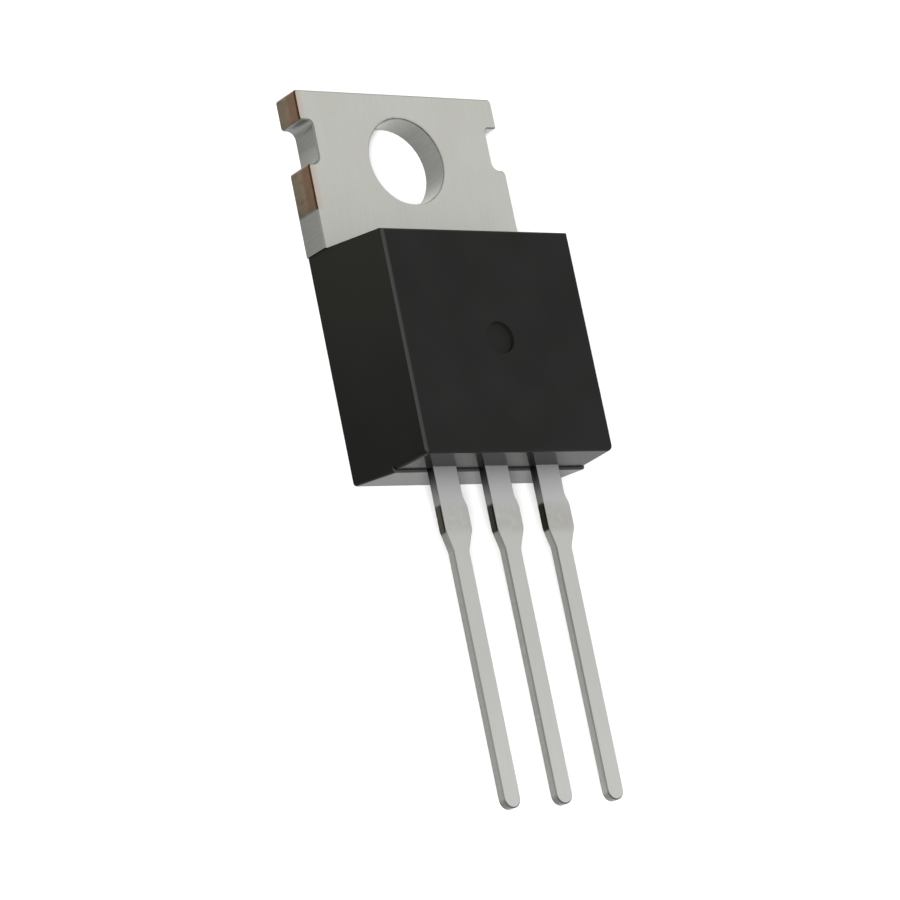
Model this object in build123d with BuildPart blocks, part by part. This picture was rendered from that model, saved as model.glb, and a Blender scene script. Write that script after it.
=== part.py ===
from build123d import *

import os

# A power transistor lying on its back. The origin is where the axis of the mounting
# hole meets the back of the tab: +Y runs to the top of the tab, the leads point
# along -Y, and +Z is the front of the moulded body. All lengths are millimetres.

# Mounting tab and the die pad behind it, one stamped plate
tab_width = 9.87
tab_thickness = 1.27
hole_to_tab_top = 2.85
hole_to_body = 3.77
hole_diameter = 3.64
hole_rim_radius = 0.1
notch_above_hole = 1.57
notch_below_hole = 0.25
notch_depth = 0.6
notch_top_back_radius = 0.38
notch_top_front_radius = 0.18
notch_bottom_radius = 0.36
ear_radius = 0.14
plate_edge_break = 0.06
pad_length = 6.0
pad_lock_step = 0.3
pad_lock_height = 0.45
groove_width = 0.6
groove_depth = 0.25
groove_setback = 0.9

# Leads, all three in one plane. The bar that joined them was cut flush on the left side
# of each lead, and its stub stands out on the right side.
lead_pitch = 2.54
lead_thickness = 0.39
neck_width = 1.22
stub_reach = 0.14
blade_width = 0.81
lead_length = 13.4
neck_length = 1.1
stub_shoulder = 0.38
stub_length = 0.95
taper_length = 0.81
stub_radius = 0.5
taper_radius = 0.5
lead_edge_break = 0.05

# Ramp that lifts the centre lead from the pad to the plane of the leads
ramp_seat = 0.4
ramp_foot = 0.35
ramp_run = 1.2
ramp_bend_radius = 0.45
ramp_landing = 0.5

# Bonding posts at the inner ends of the two outer leads
post_length = 1.3
post_root = 1.5
post_gap = 0.65
post_wall = 0.9
post_radius = 0.2

# Moulded body, widest at its back, with a parting line across its lead end at the back of the leads
body_inset = 0.045
body_length = 9.58
body_back_height = 2.44
body_front_height = 2.12
pad_side_wall = 0.72
plastic_setback = 0.04
side_draft = 0.275
front_top_draft = 0.36
front_bottom_draft = 0.04
back_bottom_draft = 0.21
parting_ledge = 0.1
body_edge_radius = 0.17
back_corner_radius = 0.14
front_corner_radius = 0.23
dimple_diameter = 1.3
dimple_depth = 0.22
dimple_aside = 0.1
dimple_below_body_top = 4.8

# Chip, its solder and the bond wires, all sealed in the moulding
die_length = 3.4
die_width = 3.0
die_thickness = 0.28
die_below_body_top = 3.3
solder_thickness = 0.05
solder_margin = 0.15
base_wire_diameter = 0.25
emitter_wire_diameter = 0.38
base_bond_aside = 0.9
base_bond_down = 0.4
emitter_bond_aside = 0.8
emitter_bond_up = 0.2
wire_lift = 0.02
wire_loop_rise = 0.45
wire_bend_radius = 0.4
foot_length = 0.8
foot_width_share = 1.5
foot_height_share = 0.7
loop_peak_share = 0.55

# One overrun for every cut and clip
overrun = 1.0

# Heights and places that several pieces share
body_top_y = -hole_to_body
body_end_y = body_top_y - body_length
lead_tip_y = body_end_y - lead_length
pad_end_y = body_top_y - pad_length
body_width = tab_width - 2 * body_inset
pad_width = body_width - 2 * pad_side_wall
lead_back_z = body_back_height
lead_front_z = lead_back_z + lead_thickness
lead_middle_z = lead_back_z + lead_thickness / 2
body_front_z = body_back_height + body_front_height
solder_top_z = tab_thickness + solder_thickness
die_top_z = solder_top_z + die_thickness
die_centre_y = body_top_y - die_below_body_top


def straight_lead(centre_x, inner_end_y):
    """One flat lead from its inner end to its round tip, its long edges broken front and back."""
    neck_end_y = body_end_y - neck_length
    stub_top_y = neck_end_y - stub_shoulder
    stub_end_y = stub_top_y - stub_length
    blade_top_y = stub_end_y - taper_length
    blade_end_y = lead_tip_y + blade_width / 2
    with BuildPart() as lead:
        with BuildSketch(Plane((centre_x, 0, lead_back_z))) as outline:
            with BuildLine():
                Polyline(
                    (-blade_width / 2, blade_end_y),
                    (-blade_width / 2, blade_top_y),
                    (-neck_width / 2, stub_end_y),
                    (-neck_width / 2, inner_end_y),
                    (neck_width / 2, inner_end_y),
                    (neck_width / 2, neck_end_y),
                    (neck_width / 2 + stub_reach, stub_top_y),
                    (neck_width / 2 + stub_reach, stub_end_y),
                    (blade_width / 2, blade_top_y),
                    (blade_width / 2, blade_end_y),
                )
                ThreePointArc(
                    (blade_width / 2, blade_end_y), (0, lead_tip_y), (-blade_width / 2, blade_end_y)
                )
            make_face()
            stub_corners = outline.vertices().filter_by_position(Axis.Y, stub_end_y, neck_end_y)
            fillet(stub_corners, stub_radius)
            taper_ends = outline.vertices().filter_by_position(Axis.Y, blade_top_y, blade_top_y)
            fillet(taper_ends, taper_radius)
        extrude(amount=lead_thickness)
        for face_edges in (lead.edges().group_by(Axis.Z)[0], lead.edges().group_by(Axis.Z)[-1]):
            chamfer(face_edges.sort_by(Axis.Y)[:-1], lead_edge_break)
    return lead.part


def bond_wire(die_x, die_y, post_x, post_y, diameter):
    """A wire looped from the chip to a post, with a flattened foot welded on each."""
    die_point = Vector(die_x, die_y)
    post_point = Vector(post_x, post_y)
    heading = (post_point - die_point).normalized()
    span = (post_point - die_point).length
    heading_angle = Vector(1, 0, 0).get_signed_angle(heading)
    loop_plane = Plane(die_point, x_dir=heading, z_dir=heading.cross(Vector(0, 0, 1)))
    foot_height = foot_height_share * diameter
    foot_width = foot_width_share * diameter
    axis_rise = diameter / 2 + wire_lift
    die_axis_z = die_top_z + axis_rise
    post_axis_z = lead_front_z + axis_rise
    with BuildPart() as wire:
        with BuildLine(loop_plane) as loop:
            FilletPolyline(
                (0, die_axis_z),
                (foot_length / 2, die_axis_z),
                (span * loop_peak_share, post_axis_z + wire_loop_rise),
                (span - foot_length / 2, post_axis_z),
                (span, post_axis_z),
                radius=wire_bend_radius,
            )
        with BuildSketch(Plane(loop.line @ 0, z_dir=loop.line % 0)):
            Circle(diameter / 2)
        sweep()
        for foot_point, foot_z in ((die_point, die_top_z), (post_point, lead_front_z)):
            with BuildSketch(Plane.XY.offset(foot_z)):
                with Locations(foot_point):
                    SlotOverall(foot_length, foot_width, rotation=heading_angle)
            extrude(amount=foot_height)
    return wire.part


# Punch for the notch in the right side of the tab, its upper corners rounder at the back than at the front
with BuildPart() as notch:
    for notch_z, top_radius in ((0, notch_top_back_radius), (tab_thickness, notch_top_front_radius)):
        with BuildSketch(Plane.XY.offset(notch_z)) as notch_section:
            with Locations((tab_width / 2, (notch_above_hole - notch_below_hole) / 2)):
                Rectangle(2 * notch_depth, notch_above_hole + notch_below_hole)
            fillet(notch_section.vertices().group_by(Axis.Y)[-1], top_radius)
            fillet(notch_section.vertices().group_by(Axis.Y)[0], notch_bottom_radius)
    loft(ruled=True)

# Mounting tab, die pad and centre lead
centre_lead_root_y = pad_end_y - ramp_foot - ramp_run - ramp_landing
centre_lead = straight_lead(0, centre_lead_root_y)
with BuildPart() as collector_tab:
    with BuildSketch():
        with BuildLine():
            Polyline(
                (0, hole_to_tab_top),
                (tab_width / 2, hole_to_tab_top),
                (tab_width / 2, body_top_y),
                (pad_width / 2, body_top_y),
                (pad_width / 2, pad_end_y),
                (0, pad_end_y),
            )
            mirror(about=Plane.YZ)
        make_face()
    extrude(amount=tab_thickness)
    add(notch.part, mode=Mode.SUBTRACT)
    mirror(notch.part, about=Plane.YZ, mode=Mode.SUBTRACT)
    # The corners and the front edges that stand out of the body are broken, and the hole has a rolled rim
    upright_edges = collector_tab.edges().group_by(Axis.Z)[1]
    outer_edges = upright_edges.filter_by(lambda edge: abs(edge.center().X) > tab_width / 2 - ear_radius)
    ear_edges = outer_edges.filter_by_position(Axis.Y, body_top_y, hole_to_tab_top, (False, True))
    fillet(ear_edges, ear_radius)
    front_edges = collector_tab.edges().group_by(Axis.Z)[-1]
    bare_edges = front_edges.filter_by_position(Axis.Y, body_top_y, hole_to_tab_top, (False, True))
    chamfer(bare_edges, plate_edge_break)
    with Locations((0, 0, tab_thickness)):
        Hole(hole_diameter / 2)
    fillet(collector_tab.edges(Select.LAST).group_by(Axis.Z)[-1], hole_rim_radius)
    # A step along the pad's back edges and a groove across its front key it into the plastic
    with BuildSketch(Plane.XY):
        with BuildLine():
            step_x = pad_width / 2 - pad_lock_step
            step_y = pad_end_y + pad_lock_step
            Polyline(
                (step_x, body_top_y),
                (step_x, step_y),
                (-step_x, step_y),
                (-step_x, body_top_y),
                (-pad_width, body_top_y),
                (-pad_width, pad_end_y - overrun),
                (pad_width, pad_end_y - overrun),
                (pad_width, body_top_y),
                close=True,
            )
        make_face()
    extrude(amount=pad_lock_height, mode=Mode.SUBTRACT)
    with BuildSketch(Plane.YZ):
        with Locations((body_top_y - groove_setback, tab_thickness)):
            Polygon((-groove_width / 2, 0), (0, -groove_depth), (groove_width / 2, 0), align=None)
    extrude(amount=pad_width, both=True, mode=Mode.SUBTRACT)
    # The ramp starts as a tongue of the pad's front side and rises to the centre lead
    with BuildLine(Plane.YZ) as ramp:
        tongue_z = tab_thickness - lead_thickness / 2
        FilletPolyline(
            (pad_end_y + ramp_seat, tongue_z),
            (pad_end_y - ramp_foot, tongue_z),
            (pad_end_y - ramp_foot - ramp_run, lead_middle_z),
            (centre_lead_root_y, lead_middle_z),
            radius=ramp_bend_radius,
        )
    with BuildSketch(Plane(ramp.line @ 0, x_dir=(1, 0, 0), z_dir=ramp.line % 0)):
        Rectangle(neck_width, lead_thickness)
    sweep()
    add(centre_lead)

# Outer leads, each with the post that its bond wire is welded to
post_inner_x = neck_width / 2 + post_gap
post_outer_x = body_width / 2 - post_wall
post_middle_x = (post_inner_x + post_outer_x) / 2
post_middle_y = body_end_y + post_root + post_length / 2


def outer_lead(side):
    """An outer lead on the left (side -1) or the right (side 1), with its post."""
    bar = straight_lead(side * lead_pitch, post_middle_y)
    with BuildPart() as lead:
        with BuildSketch(Plane.XY.offset(lead_back_z)) as post:
            with Locations((side * post_middle_x, post_middle_y)):
                Rectangle(post_outer_x - post_inner_x, post_length)
            fillet(post.vertices(), post_radius)
        extrude(amount=lead_thickness)
        add(bar)
    return lead


base_lead = outer_lead(-1)
emitter_lead = outer_lead(1)

# Chip and solder
with BuildPart() as die_solder:
    with BuildSketch(Plane.XY.offset(tab_thickness)):
        with Locations((0, die_centre_y)):
            Rectangle(die_length + 2 * solder_margin, die_width + 2 * solder_margin)
    extrude(amount=solder_thickness)

with BuildPart() as silicon_die:
    with BuildSketch(Plane.XY.offset(solder_top_z)):
        with Locations((0, die_centre_y)):
            Rectangle(die_length, die_width)
    extrude(amount=die_thickness)

# Bond wires
base_loop = bond_wire(
    -base_bond_aside, die_centre_y - base_bond_down, -lead_pitch, post_middle_y, base_wire_diameter
)
emitter_loop = bond_wire(
    emitter_bond_aside, die_centre_y + emitter_bond_up, lead_pitch, post_middle_y, emitter_wire_diameter
)
with BuildPart() as base_wire:
    add(base_loop)

with BuildPart() as emitter_wire:
    add(emitter_loop)

# Moulded body, two halves that meet at the parting line
lead_end_y = body_end_y + parting_ledge
front_rise_share = (body_back_height - tab_thickness) / (body_front_z - tab_thickness)
parting_top_y = body_top_y - front_top_draft * front_rise_share


def body_half(corner_radius, *side_view):
    """Half of the moulding: its side view clipped by the drafted end view, its lead-end corners rounded."""
    with BuildPart() as half:
        with BuildSketch(Plane.YZ):
            Polygon(*side_view, align=None)
        extrude(amount=body_width, both=True)
        with BuildSketch(Plane.XZ.offset(-body_top_y - overrun)):
            with BuildLine():
                Polyline(
                    (0, plastic_setback),
                    (body_width / 2, plastic_setback),
                    (body_width / 2 - side_draft, body_front_z),
                    (0, body_front_z),
                )
                mirror(about=Plane.YZ)
            make_face()
        extrude(amount=body_length + 2 * overrun, mode=Mode.INTERSECT)
        lead_end = half.faces().sort_by(Axis.Y)[0]
        fillet(lead_end.edges().filter_by(Axis.X, reverse=True), corner_radius)
    return half.part


back_half = body_half(
    back_corner_radius,
    (body_top_y, plastic_setback),
    (body_top_y, tab_thickness),
    (parting_top_y, body_back_height),
    (body_end_y, body_back_height),
    (body_end_y + back_bottom_draft, plastic_setback),
)
front_half = body_half(
    front_corner_radius,
    (parting_top_y, body_back_height),
    (body_top_y - front_top_draft, body_front_z),
    (lead_end_y + front_bottom_draft, body_front_z),
    (lead_end_y, body_back_height),
)
with BuildPart() as epoxy_body:
    add(back_half)
    add(front_half)
    front_face = epoxy_body.faces().sort_by(Axis.Z)[-1]
    fillet(front_face.edges(), body_edge_radius)
    with BuildSketch(Plane.XY.offset(body_front_z)):
        with Locations((dimple_aside, body_top_y - dimple_below_body_top)):
            Circle(dimple_diameter / 2)
    extrude(amount=-dimple_depth, mode=Mode.SUBTRACT)
    # The plastic flows round everything that it holds
    for held in (collector_tab, base_lead, emitter_lead, die_solder, silicon_die, base_wire, emitter_wire):
        add(held.part, mode=Mode.SUBTRACT)

# One file for each piece
os.makedirs("parts", exist_ok=True)
pieces = {
    "epoxy_body": epoxy_body,
    "collector_tab": collector_tab,
    "base_lead": base_lead,
    "emitter_lead": emitter_lead,
    "silicon_die": silicon_die,
    "die_solder": die_solder,
    "base_wire": base_wire,
    "emitter_wire": emitter_wire,
}
for piece_name, piece in pieces.items():
    piece.part.label = piece_name
    export_step(piece.part, f"parts/{piece_name}.step")
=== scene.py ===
import math

import bpy
import numpy as np
from mathutils import Matrix, Vector


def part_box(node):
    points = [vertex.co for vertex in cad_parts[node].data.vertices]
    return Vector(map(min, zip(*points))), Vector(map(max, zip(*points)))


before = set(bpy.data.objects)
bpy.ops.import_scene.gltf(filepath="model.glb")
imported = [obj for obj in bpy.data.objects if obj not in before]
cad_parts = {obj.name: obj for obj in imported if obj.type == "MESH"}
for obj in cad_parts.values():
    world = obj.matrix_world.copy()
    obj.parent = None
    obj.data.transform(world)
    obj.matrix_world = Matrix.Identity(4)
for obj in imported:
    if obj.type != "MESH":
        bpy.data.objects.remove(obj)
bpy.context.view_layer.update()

# Places on the part that the finishes follow, in metres in the part's own frame
MM = 0.001
TAB_HALF_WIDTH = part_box("collector_tab")[1].x
TAB_TOP_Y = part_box("collector_tab")[1].y
HOLE_RADIUS = 1.82 * MM
NOTCH_TOP_Y = 1.57 * MM
NOTCH_BOTTOM_Y = -0.25 * MM
NOTCH_FLOOR_X = TAB_HALF_WIDTH - 0.6 * MM
COPPER_END_Y = -2.18 * MM
BODY_END_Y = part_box("epoxy_body")[0].y
BODY_TOP_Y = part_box("epoxy_body")[1].y
LEAD_PITCH = 2.54 * MM
BESIDE_RIGHT_LEAD_X = LEAD_PITCH - 0.8 * MM
BESIDE_LEFT_LEAD_X = -BESIDE_RIGHT_LEAD_X
LEAD_BACK_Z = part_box("base_lead")[0].z
BAR_TOP_Y = BODY_END_Y - 1.44 * MM
BAR_END_Y = BODY_END_Y - 2.55 * MM
NECK_HALF_WIDTH = 0.61 * MM
LEAD_TIP_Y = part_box("base_lead")[0].y
DIMPLE_X = 0.1 * MM
DIMPLE_Y = BODY_TOP_Y - 4.8 * MM
DIMPLE_RADIUS = 0.65 * MM


class Value:
    """A number that varies over a surface. Arithmetic on it adds Math nodes to its tree."""

    def __init__(self, tree, socket):
        self.tree = tree
        self.socket = socket

    def math(self, operation, *others):
        """The Math node of that operation on this value and the others."""
        node = self.tree.nodes.new("ShaderNodeMath")
        node.operation = operation
        for place, item in enumerate((self, *others)):
            feed(self.tree, node.inputs[place], item)
        return Value(self.tree, node.outputs[0])

    def __add__(self, other):
        return self.math("ADD", other)

    __radd__ = __add__

    def __sub__(self, other):
        return self.math("SUBTRACT", other)

    def __rsub__(self, other):
        return (self * -1.0).math("ADD", other)

    def __mul__(self, other):
        return self.math("MULTIPLY", other)

    __rmul__ = __mul__

    def __abs__(self):
        return self.math("ABSOLUTE")

    def rise(self, start, end):
        """0 before start, 1 after end, and a smooth step between; falls where end is less than start."""
        node = self.tree.nodes.new("ShaderNodeMapRange")
        node.interpolation_type = "SMOOTHSTEP"
        feed(self.tree, node.inputs["Value"], self)
        flipped = end < start
        node.inputs["From Min"].default_value = min(start, end)
        node.inputs["From Max"].default_value = max(start, end)
        node.inputs["To Min"].default_value = 1.0 if flipped else 0.0
        node.inputs["To Max"].default_value = 0.0 if flipped else 1.0
        return Value(self.tree, node.outputs["Result"])

    def within(self, low, high, soft):
        """1 between low and high, 0 outside, with smooth edges that are as wide as soft."""
        return self.rise(low - soft / 2, low + soft / 2) * self.rise(high + soft / 2, high - soft / 2)


def feed(tree, socket, item):
    """Links a value or a socket into a socket, or sets a plain number or colour on it."""
    if isinstance(item, Value):
        tree.links.new(item.socket, socket)
    elif isinstance(item, bpy.types.NodeSocket):
        tree.links.new(item, socket)
    elif isinstance(item, tuple) and len(item) == 3 and socket.type == "RGBA":
        socket.default_value = (*item, 1.0)
    else:
        socket.default_value = item


class Finish:
    """One surface finish: a material with a Principled shader, and the places that its patterns read."""

    def __init__(self, name):
        self.material = bpy.data.materials.new(name)
        self.material.use_nodes = True
        self.tree = self.material.node_tree
        self.shader = self.tree.nodes["Principled BSDF"]
        coordinates = self.node("ShaderNodeTexCoord")
        self.place = coordinates.outputs["Object"]
        self.x, self.y, self.z = self.parts(self.place)
        self.facing_x, self.facing_y, self.facing_z = self.parts(coordinates.outputs["Normal"])

    def node(self, kind, settings=None, **inputs):
        """A node of that kind, with its settings made first and then its sockets fed."""
        node = self.tree.nodes.new(kind)
        for name, value in (settings or {}).items():
            setattr(node, name, value)
        for name, item in inputs.items():
            feed(self.tree, node.inputs[name.replace("_", " ")], item)
        return node

    def parts(self, vector):
        """The three components of a vector socket, as values."""
        node = self.node("ShaderNodeSeparateXYZ", Vector=vector)
        return [Value(self.tree, output) for output in node.outputs]

    def noise(self, stretch, detail=2.0, roughness=0.5):
        """Cloudy noise from 0 to 1, with a grain of the three sizes given, in metres."""
        scaled = self.node("ShaderNodeVectorMath", {"operation": "DIVIDE"})
        feed(self.tree, scaled.inputs[0], self.place)
        feed(self.tree, scaled.inputs[1], stretch)
        grain = self.node(
            "ShaderNodeTexNoise", Vector=scaled.outputs[0], Scale=1.0, Detail=detail, Roughness=roughness
        )
        return Value(self.tree, grain.outputs["Fac"])

    def blend(self, share, base, over):
        """The base colour with the other colour laid over it by that share."""
        node = self.node("ShaderNodeMix", {"data_type": "RGBA"})
        feed(self.tree, node.inputs["Factor"], share)
        feed(self.tree, node.inputs[6], base)
        feed(self.tree, node.inputs[7], over)
        return node.outputs[2]

    def bump(self, height, depth, strength):
        """A normal bent by a height, where a height of 1 stands for depth metres."""
        node = self.node("ShaderNodeBump", Height=height, Distance=depth, Strength=strength)
        return node.outputs["Normal"]

    def surface(self, **inputs):
        """Feeds the shader's own sockets."""
        for name, item in inputs.items():
            feed(self.tree, self.shader.inputs[name.replace("_", " ")], item)
        return self.material


class TinPlate(Finish):
    """Satin tin over copper strip: its patterns, and masks of its sides, edges, leads and cut flanks."""

    def __init__(self):
        super().__init__("tin_plate")
        self.grain = self.noise((0.06 * MM, 1.6 * MM, 0.06 * MM), 3.0, 0.6)
        self.cloud = self.noise((1.7 * MM, 1.7 * MM, 1.7 * MM), 2.0)
        self.drag = self.noise((0.09 * MM, 0.09 * MM, 1.2 * MM), 2.0)
        self.blotch = self.noise((0.35 * MM, 0.35 * MM, 0.35 * MM), 2.0)

        from_hole = (self.x * self.x + self.y * self.y).math("SQRT")
        self.hole_wall = from_hole.rise(HOLE_RADIUS + 0.4 * MM, HOLE_RADIUS + 0.2 * MM)
        level = abs(self.facing_z)
        upright = level.rise(0.6, 0.4)
        rolled_in = level.rise(0.95, 0.05)
        self.side = upright * (1 - self.hole_wall) + rolled_in * self.hole_wall
        self.coined = level.within(0.55, 0.88, 0.1) * (1 - self.hole_wall)
        self.broken = (self.side + self.coined).math("MINIMUM", 1.0)
        under = self.facing_y.rise(-0.4, -0.9) * self.y.within(NOTCH_TOP_Y - 0.2 * MM, TAB_TOP_Y, 0.1 * MM)
        self.ear_foot = under * (1 - self.hole_wall) * self.side

        self.outside = self.y.rise(BODY_END_Y + MM, BODY_END_Y)
        past_middle = self.x.rise(BESIDE_RIGHT_LEAD_X - 0.1 * MM, BESIDE_RIGHT_LEAD_X + 0.1 * MM)
        self.right_lead = past_middle * self.outside
        ear = self.y.within(NOTCH_TOP_Y, TAB_TOP_Y + MM, 0.08 * MM)
        below_notch = self.y.within(COPPER_END_Y, NOTCH_BOTTOM_Y, 0.12 * MM)
        self.cut_span = ear + below_notch

    def rolled_faces(self):
        """Grey tin, darker round the stubs, most on the right lead, painted lighter towards the lead tips,
        and bluer beside the body.
        """
        tab = self.blend(self.cloud.rise(0.3, 0.7), (0.80, 0.80, 0.752), (0.83, 0.83, 0.788))
        # Painted light: the leads grow lighter towards their tips.
        tipward_painted_light = self.y.rise(BAR_END_Y - 4.0 * MM, LEAD_TIP_Y + MM)
        lead = self.blend(tipward_painted_light, (0.80, 0.80, 0.775), (0.855, 0.855, 0.837))
        tin = self.blend(self.outside, tab, lead)
        tin = self.blend(self.grain.rise(0.35, 0.75) * 0.15, tin, (0.66, 0.66, 0.63))
        # Darker round the stubs, most on the right lead.
        stub = self.y.within(BAR_END_Y, BAR_TOP_Y, 0.5 * MM)
        stub_darkening = stub * (0.17 + 0.27 * self.right_lead + 0.28 * self.blotch.rise(0.3, 0.65))
        tin = self.blend(stub_darkening, tin, (0.60, 0.59, 0.52))
        root = self.y.rise(BAR_END_Y - 0.5 * MM, BODY_END_Y) * self.outside
        return self.blend(root * 0.7, tin, (0.80, 0.80, 0.84))

    def punched_sides(self):
        """Dark dragged metal, with a brighter burnish in the hole and on the blades, painted light on walls
        facing along the part, a painted reflection low in the notches and painted light on the right lead's
        sides.
        """
        punched = self.blend(self.drag, (0.136, 0.138, 0.127), (0.187, 0.189, 0.176))
        burnish_and_painted_light = self.blend(self.drag, (0.18, 0.182, 0.169), (0.24, 0.242, 0.226))
        # Painted light: walls facing along the part are lightened, those facing the tab end more, those
        # facing the lead tips less.
        facing_painted_light = self.facing_y.rise(0.1, 0.8) * 0.75 + self.facing_y.rise(-0.8, -1.0) * 0.4
        burnish_and_painted_light = self.blend(facing_painted_light, burnish_and_painted_light, (0.34, 0.343, 0.32))
        blade = self.y.rise(BAR_END_Y, BAR_END_Y - MM)
        in_notch = abs(self.x).rise(NOTCH_FLOOR_X + 0.165 * MM, NOTCH_FLOOR_X + 0.065 * MM)
        # Painted reflection: the lower parts of the notches' walls are lightened.
        notch_painted_reflection = self.y.within(NOTCH_BOTTOM_Y, 0.5 * MM, 0.4 * MM) * in_notch
        rubbed_and_painted_reflection = (self.hole_wall + blade + notch_painted_reflection).math("MINIMUM", 1.0)
        wall = self.blend(rubbed_and_painted_reflection, punched, burnish_and_painted_light)
        # Painted light: the sides on the right lead are lightened.
        return self.blend(self.right_lead * 0.7, wall, (0.33, 0.333, 0.318))

    def cut_copper(self):
        """Bare copper, brown at the back and redder in front, with a pale shear band, dull blotches and
        painted shadow darkening its lower end.
        """
        to_front = self.z.rise(0.25 * MM, 0.95 * MM)
        copper = self.blend(to_front, (0.115, 0.099, 0.068), (0.118, 0.066, 0.038))
        shear_band = self.z.within(0.45 * MM, 0.7 * MM, 0.2 * MM)
        copper = self.blend(shear_band * 0.6, copper, (0.15, 0.112, 0.078))
        copper = self.blend(self.blotch.rise(0.5, 0.7) * 0.5, copper, (0.065, 0.052, 0.034))
        copper = self.blend(self.drag.rise(0.4, 0.8) * 0.3, copper, (0.085, 0.058, 0.034))
        # Painted shadow: the copper darkens towards its lower end.
        copper_end_painted_shadow = self.y.rise(COPPER_END_Y + 0.6 * MM, COPPER_END_Y)
        return self.blend(copper_end_painted_shadow * 0.5, copper, (0.06, 0.055, 0.038))

    def bar_tone(self):
        """A dark tone for the stub sides where the bar that joined the leads was cut, lightest on the left
        lead.
        """
        tone = self.blend(self.drag, (0.024, 0.023, 0.018), (0.052, 0.048, 0.036))
        past_left_lead = self.x.rise(BESIDE_LEFT_LEAD_X - 0.1 * MM, BESIDE_LEFT_LEAD_X + 0.1 * MM)
        return self.blend(past_left_lead * 0.6, tone, (0.008, 0.008, 0.006))


def tin_plate():
    """Satin tin over copper strip: rolled faces, punched sides with burnish and painted light, bare copper
    where it was cut.
    """
    plate = TinPlate()

    # Rolled faces, their coined edges painted darker as shade, the punched sides, and the undersides of the
    # ears with painted shade on the left and painted light on the right
    colour = plate.blend(plate.coined * 0.55, plate.rolled_faces(), (0.1, 0.1, 0.095))
    colour = plate.blend(plate.side, colour, plate.punched_sides())
    ear_underside_painted_light = plate.blend(plate.x.rise(0.0, MM), (0.30, 0.30, 0.285), (0.75, 0.75, 0.72))
    colour = plate.blend(plate.ear_foot * 0.85, colour, ear_underside_painted_light)

    # Painted shade, near black, on the sides and edges of the leads beside the body, and dull cut tips
    neck_painted_shade = plate.y.rise(BAR_TOP_Y, BODY_END_Y) * plate.outside * plate.broken
    colour = plate.blend(neck_painted_shade * 0.95, colour, (0.02, 0.02, 0.02))
    tip_cut = plate.y.rise(LEAD_TIP_Y + 0.45 * MM, LEAD_TIP_Y + 0.2 * MM) * plate.broken
    colour = plate.blend(tip_cut * 0.6, colour, (0.075, 0.07, 0.06))

    # Copper where the flanks of the tab were cut from the strip, and a blush on the face beside the left one
    flank = abs(plate.x).rise(TAB_HALF_WIDTH - 0.12 * MM, TAB_HALF_WIDTH - 0.05 * MM)
    colour = plate.blend(flank * plate.cut_span * plate.broken, colour, plate.cut_copper())
    margin = plate.x.rise(-TAB_HALF_WIDTH + 0.42 * MM, -TAB_HALF_WIDTH + 0.1 * MM) * plate.cut_span
    colour = plate.blend(margin * (1 - plate.broken) * 0.7, colour, (0.80, 0.66, 0.565))

    # Darker over the sides of each stub, where the bar that joined the leads was cut
    bar = plate.y.within(BAR_END_Y, BAR_TOP_Y, 0.12 * MM)
    lead_offset = abs(abs(plate.x) - LEAD_PITCH).math("MINIMUM", abs(plate.x))
    bar_cut = bar * lead_offset.rise(NECK_HALF_WIDTH - 0.08 * MM, NECK_HALF_WIDTH - 0.02 * MM)
    colour = plate.blend(bar_cut * plate.broken, colour, plate.bar_tone())

    roughness = 0.5 + 0.1 * plate.cloud + 0.06 * plate.grain + 0.16 * plate.coined
    roughness = roughness - 0.28 * plate.side - 0.08 * (plate.side * plate.hole_wall) + 0.25 * plate.ear_foot
    height = plate.grain * 0.5 + plate.drag * plate.side
    return plate.surface(
        Base_Color=colour,
        Metallic=1.0,
        Roughness=roughness,
        Normal=plate.bump(height, 0.004 * MM, 0.3),
    )


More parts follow.
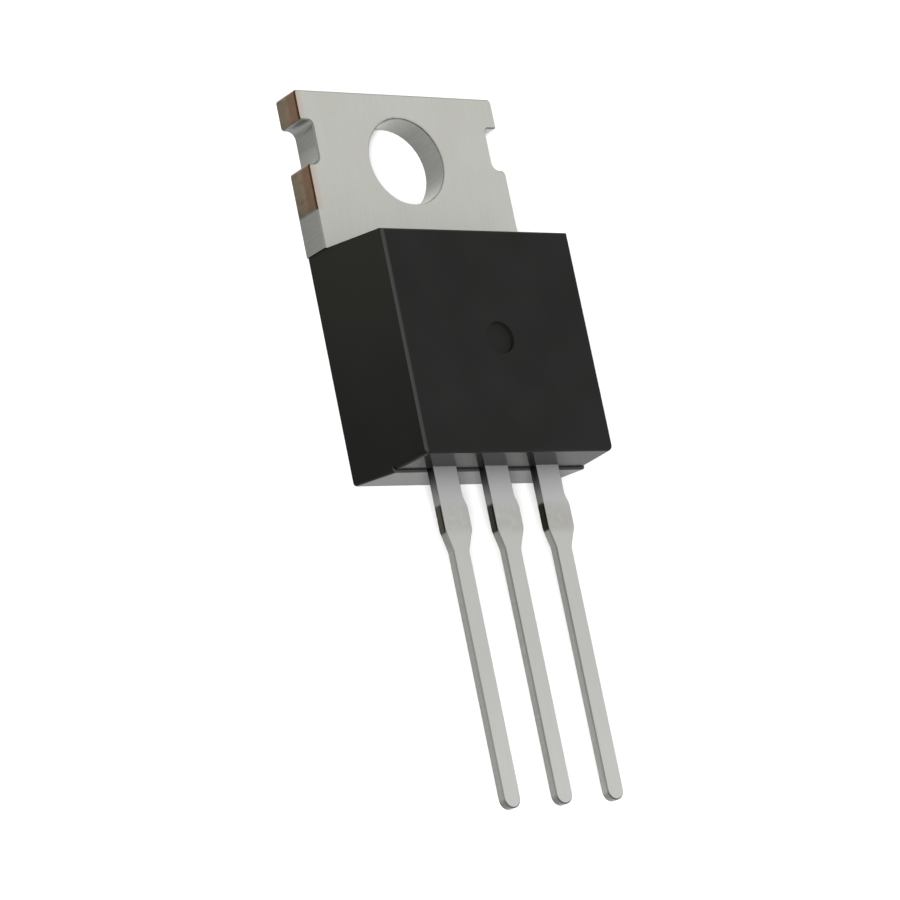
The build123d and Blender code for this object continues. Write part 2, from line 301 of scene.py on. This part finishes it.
def moulding_compound():
    """Black filled epoxy: finely pitted from the mould, with glossier ends, painted shade on the sides that
    lightens towards the tab, a painted highlight along the long front edges and painted light on a low front
    step.
    """
    finish = Finish("moulding_compound")
    pits = finish.noise((0.05 * MM, 0.05 * MM, 0.05 * MM), 3.0, 0.65)
    cloud = finish.noise((2.4 * MM, 2.4 * MM, 2.4 * MM), 2.0)
    end = abs(finish.facing_y).rise(0.8, 0.95)
    out_x = finish.x - DIMPLE_X
    out_y = finish.y - DIMPLE_Y
    from_dimple = (out_x * out_x + out_y * out_y).math("SQRT")
    in_dimple = from_dimple.rise(DIMPLE_RADIUS + 0.1 * MM, DIMPLE_RADIUS + 0.05 * MM)
    front = finish.facing_z.rise(0.3, 0.75).math("MAXIMUM", in_dimple * 0.6)
    matt = finish.blend(cloud.rise(0.3, 0.7), (0.0125, 0.0125, 0.0122), (0.0145, 0.0145, 0.0142))
    matt = finish.blend(pits.rise(0.55, 0.8) * 0.5, matt, (0.021, 0.021, 0.0205))
    # Painted shade: the sides are darker than the front, and lighter towards the tab end.
    to_tab = finish.y.rise(BODY_END_Y, BODY_TOP_Y)
    sleek_painted_shade = finish.blend(to_tab, (0.003, 0.003, 0.0025), (0.0075, 0.0075, 0.0058))
    sleek_painted_shade = finish.blend(cloud.rise(0.3, 0.7) * 0.2, sleek_painted_shade, (0.007, 0.007, 0.0066))
    sleek_painted_shade = finish.blend(end, sleek_painted_shade, (0.0145, 0.0145, 0.0138))
    colour = finish.blend(front, sleek_painted_shade, matt)
    # Painted highlight: the rounded long edges between the front and the sides are lightened.
    edge_painted_highlight = finish.facing_z.within(0.3, 0.93, 0.2) * abs(finish.facing_x).rise(0.3, 0.5)
    colour = finish.blend(edge_painted_highlight, colour, (0.030, 0.030, 0.030))
    # Painted light: low front-facing faces by the back plane of the leads are lightened.
    ledge_painted_light = front * finish.z.rise(LEAD_BACK_Z + 0.15 * MM, LEAD_BACK_Z + 0.05 * MM)
    colour = finish.blend(ledge_painted_light, colour, (0.045, 0.045, 0.043))
    roughness = 0.32 + 0.08 * cloud + 0.1 * front - 0.2 * end
    return finish.surface(
        Base_Color=colour,
        IOR=1.124,
        Roughness=roughness,
        Normal=finish.bump(pits, 0.002 * MM, 0.25),
    )


def silicon():
    """Polished silicon, dark blue grey, with a faint step pattern of its metal layers."""
    finish = Finish("silicon")
    layers = finish.noise((0.4 * MM, 0.4 * MM, 0.4 * MM), 1.0)
    colour = finish.blend(layers.rise(0.4, 0.6), (0.16, 0.17, 0.2), (0.24, 0.25, 0.28))
    return finish.surface(Base_Color=colour, Metallic=0.6, Roughness=0.12 + 0.1 * layers)


def die_solder():
    """Dull grey solder, grainy where it froze."""
    finish = Finish("die_solder")
    grains = finish.noise((0.15 * MM, 0.15 * MM, 0.15 * MM), 3.0)
    colour = finish.blend(grains, (0.34, 0.34, 0.33), (0.52, 0.52, 0.51))
    return finish.surface(Base_Color=colour, Metallic=1.0, Roughness=0.4 + 0.2 * grains)


def bond_wire():
    """Drawn aluminium wire, bright, with fine die lines."""
    finish = Finish("bond_wire")
    lines = finish.noise((0.03 * MM, 0.4 * MM, 0.03 * MM), 2.0)
    colour = finish.blend(lines, (0.68, 0.68, 0.69), (0.82, 0.82, 0.83))
    return finish.surface(Base_Color=colour, Metallic=1.0, Roughness=0.22 + 0.15 * lines)


# Each node's finish
tin = tin_plate()
wire = bond_wire()
FINISHES = {
    "epoxy_body": moulding_compound(),
    "collector_tab": tin,
    "base_lead": tin,
    "emitter_lead": tin,
    "silicon_die": silicon(),
    "die_solder": die_solder(),
    "base_wire": wire,
    "emitter_wire": wire,
}
for node_name, material in FINISHES.items():
    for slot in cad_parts[node_name].material_slots:
        slot.material = material


# Floor
FLOOR_REACH = 0.6
FLOOR_DROP = 0.01 * MM


def plane_mesh(name, half_width, z):
    """A square of that half width, flat at z: (u, v) on a two by two grid go to (u, v, z)."""
    u, v = np.meshgrid((-half_width, half_width), (-half_width, half_width))
    points = np.stack((u.ravel(), v.ravel(), np.full(4, z)), axis=1)
    mesh = bpy.data.meshes.new(name)
    mesh.from_pydata(points.tolist(), [], [(0, 1, 3, 2)])
    piece = bpy.data.objects.new(name, mesh)
    bpy.context.scene.collection.objects.link(piece)
    return piece


def floor_paint():
    """Plain pale paper."""
    finish = Finish("floor_paper")
    fibre = finish.noise((0.4 * MM, 0.4 * MM, 0.4 * MM), 2.0)
    colour = finish.blend(fibre, (0.92, 0.92, 0.92), (0.94, 0.94, 0.94))
    return finish.surface(Base_Color=colour, Roughness=0.9, Specular_IOR_Level=0.0)


floor = plane_mesh("floor", FLOOR_REACH, -FLOOR_DROP)
floor.data.materials.append(floor_paint())

# Studio light: a pale room and one soft box near the camera
ROOM_COLOUR = (1.0, 1.0, 0.99, 1.0)
ROOM_STRENGTH = 0.67
PART_MIDDLE = Vector((0.0, -12.0, 2.0)) * MM
KEY_DIRECTION = (-0.61, -0.24, 0.75)
KEY_DISTANCE = 0.4
KEY_SIDE = 0.1
KEY_RADIANCE = 60.0

world = bpy.data.worlds.new("studio")
world.use_nodes = True
background = world.node_tree.nodes["Background"]
background.inputs["Color"].default_value = ROOM_COLOUR
background.inputs["Strength"].default_value = ROOM_STRENGTH
bpy.context.scene.world = world


def soft_box(name, direction, distance, side, radiance):
    """A square light of that side and radiance, aimed at the part, that shows in no reflection."""
    light = bpy.data.lights.new(name, "AREA")
    light.size = side
    light.energy = radiance * math.pi * side**2
    box = bpy.data.objects.new(name, light)
    away = Vector(direction).normalized()
    box.location = PART_MIDDLE + away * distance
    box.rotation_euler = away.to_track_quat("Z", "Y").to_euler()
    box.visible_glossy = False
    bpy.context.scene.collection.objects.link(box)


soft_box("key_box", KEY_DIRECTION, KEY_DISTANCE, KEY_SIDE, KEY_RADIANCE)

# Camera: the photograph's place, aim, roll and lens
CAMERA_PLACE = Vector((-98.885, -49.897, 121.983)) * MM
CAMERA_AIM = Vector((-1.436, -12.326, 2.0)) * MM
CAMERA_ROLL = math.radians(-11.62)
CAMERA_LENS = 163.9
CAMERA_SENSOR = 36.0
NEAREST_SEEN = 1.0 * MM

camera_data = bpy.data.cameras.new("camera")
camera_data.sensor_width = CAMERA_SENSOR
camera_data.lens = CAMERA_LENS
camera_data.clip_start = NEAREST_SEEN
camera = bpy.data.objects.new("camera", camera_data)
bpy.context.scene.collection.objects.link(camera)
forward = (CAMERA_AIM - CAMERA_PLACE).normalized()
level_right = forward.cross(Vector((0, 1, 0))).normalized()
level_up = level_right.cross(forward)
right = level_right * math.cos(CAMERA_ROLL) + level_up * math.sin(CAMERA_ROLL)
up = right.cross(forward)
turn = Matrix((right, up, -forward)).transposed()
camera.matrix_world = Matrix.Translation(CAMERA_PLACE) @ turn.to_4x4()
bpy.context.scene.camera = camera
bpy.context.scene.view_settings.view_transform = "Standard"
